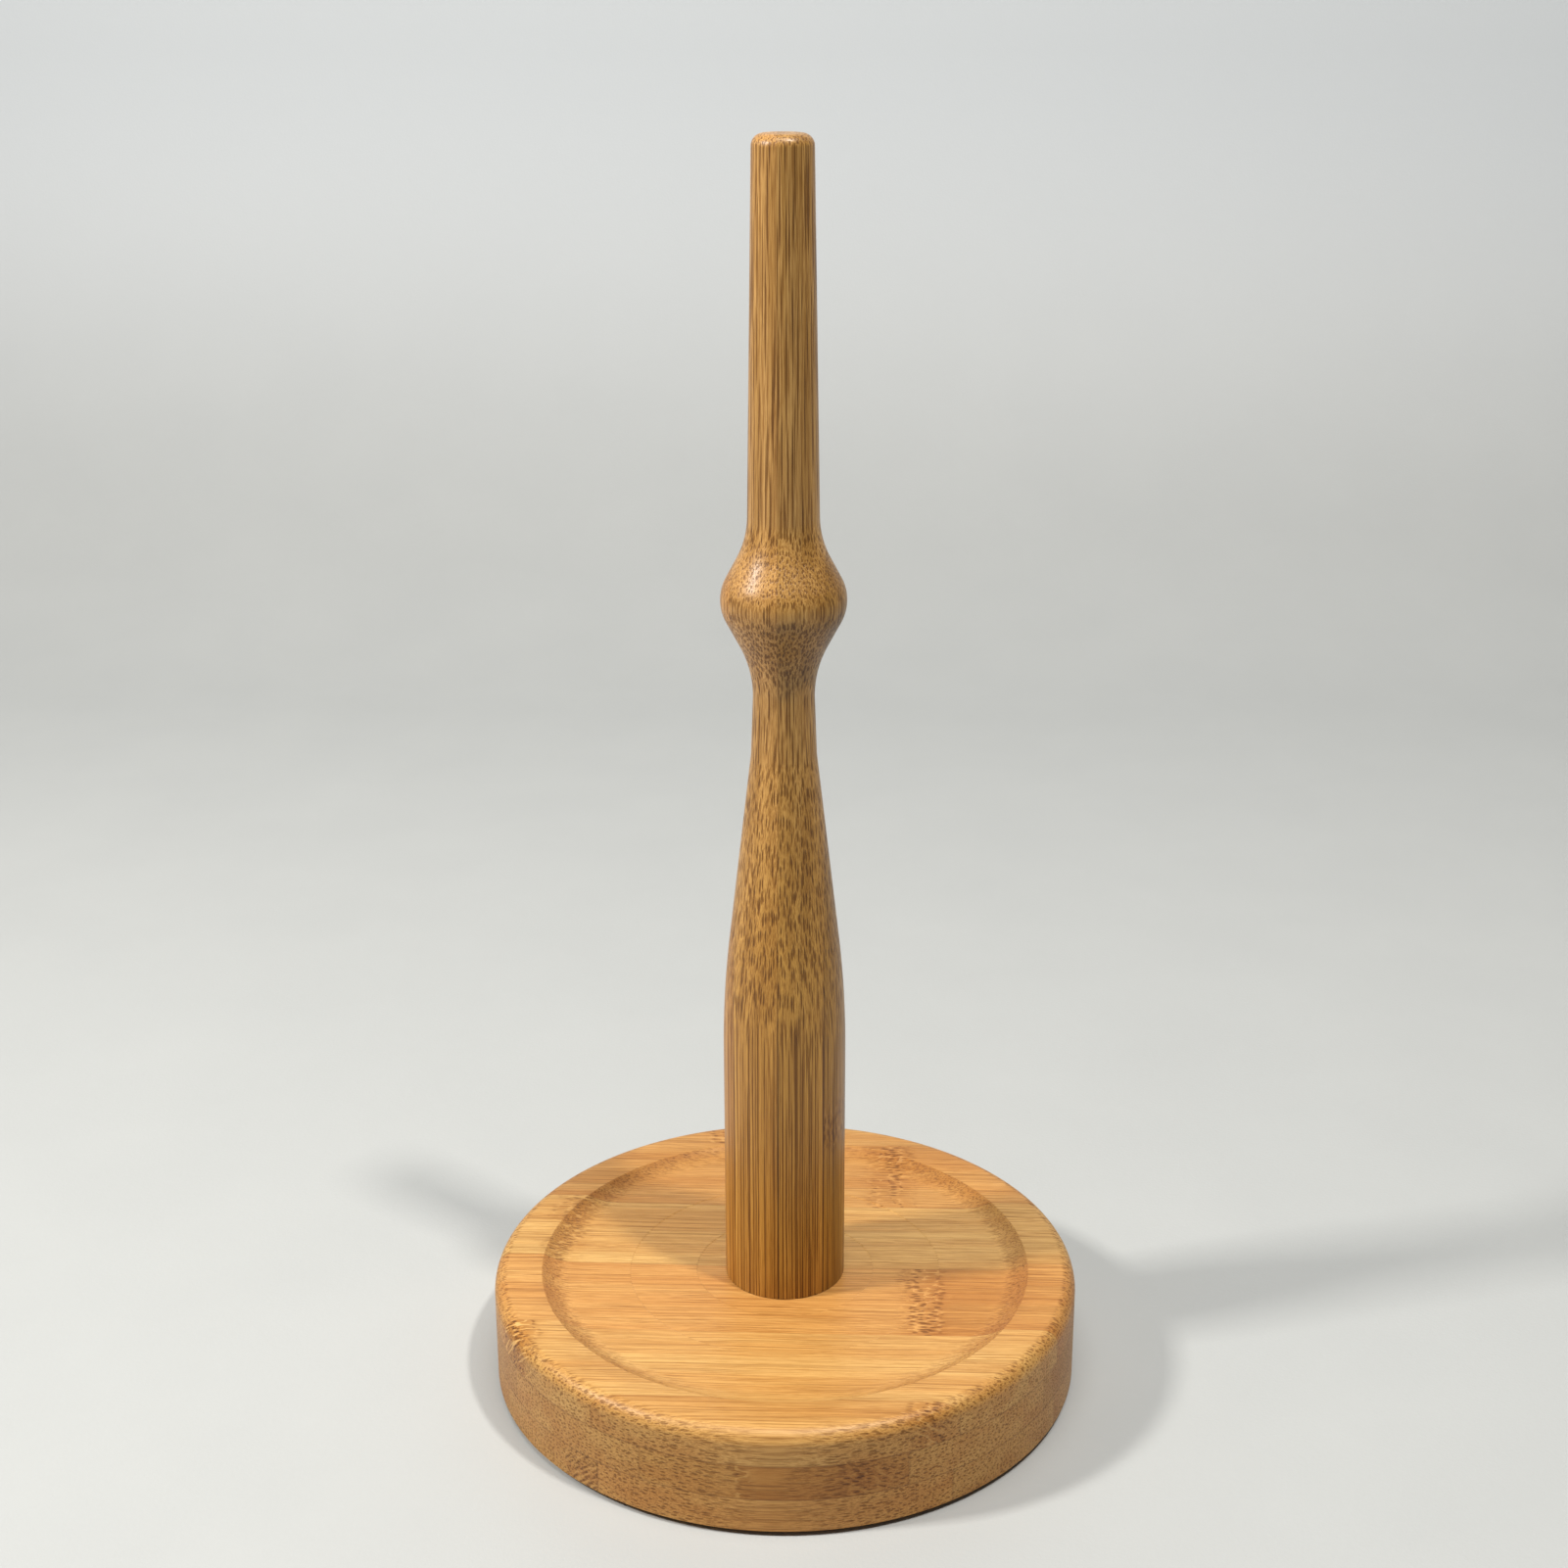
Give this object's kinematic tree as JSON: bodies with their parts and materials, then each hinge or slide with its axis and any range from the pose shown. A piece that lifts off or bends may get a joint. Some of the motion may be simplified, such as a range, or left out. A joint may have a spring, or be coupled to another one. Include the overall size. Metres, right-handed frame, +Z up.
{
  "type": "paper towel holder",
  "caption": "Countertop paper towel holder: round dished board of laminated bamboo with an upright turned post, for one kitchen roll.",
  "frame": {"origin": "on the counter under the middle of the base, at the bottom centre of the box", "axes": "+Z up along the post's axis; the board's strips run along X; the front faces -Y"},
  "size_m": [0.15, 0.15, 0.3123],
  "materials": {
    "board_bamboo": "clear semi-gloss lacquer over caramelised bamboo",
    "post_bamboo": "clear semi-gloss lacquer over darker caramelised bamboo",
    "fastener_steel": "zinc plated",
    "insert_brass": "turned",
    "pad_rubber": "matte"
  },
  "bodies": {
    "root": {"base_bottom_front_strip_1": "board_bamboo", "base_bottom_front_strip_2": "board_bamboo", "base_bottom_front_strip_3": "board_bamboo", "base_bottom_back_strip_1": "board_bamboo", "base_bottom_back_strip_2": "board_bamboo", "base_bottom_back_strip_3": "board_bamboo", "base_middle_front_strip_1": "board_bamboo", "base_middle_front_strip_2": "board_bamboo", "base_middle_front_strip_3": "board_bamboo", "base_middle_back_strip_1": "board_bamboo", "base_middle_back_strip_2": "board_bamboo", "base_middle_back_strip_3": "board_bamboo", "base_top_front_strip_1": "board_bamboo", "base_top_front_strip_2": "board_bamboo", "base_top_front_strip_3": "board_bamboo", "base_top_back_strip_1": "board_bamboo", "base_top_back_strip_2": "board_bamboo", "base_top_back_strip_3": "board_bamboo", "post_left_slat_1": "post_bamboo", "post_left_slat_2": "post_bamboo", "post_left_slat_3": "post_bamboo", "post_right_slat_1": "post_bamboo", "post_right_slat_2": "post_bamboo", "post_right_slat_3": "post_bamboo", "bead_left_slat_3": "post_bamboo", "bead_right_slat_3": "post_bamboo", "threaded_insert": "insert_brass", "post_screw": "fastener_steel", "screw_washer": "fastener_steel", "non_slip_pad_1": "pad_rubber", "non_slip_pad_2": "pad_rubber", "non_slip_pad_3": "pad_rubber", "non_slip_pad_4": "pad_rubber"}
  },
  "joints": []
}
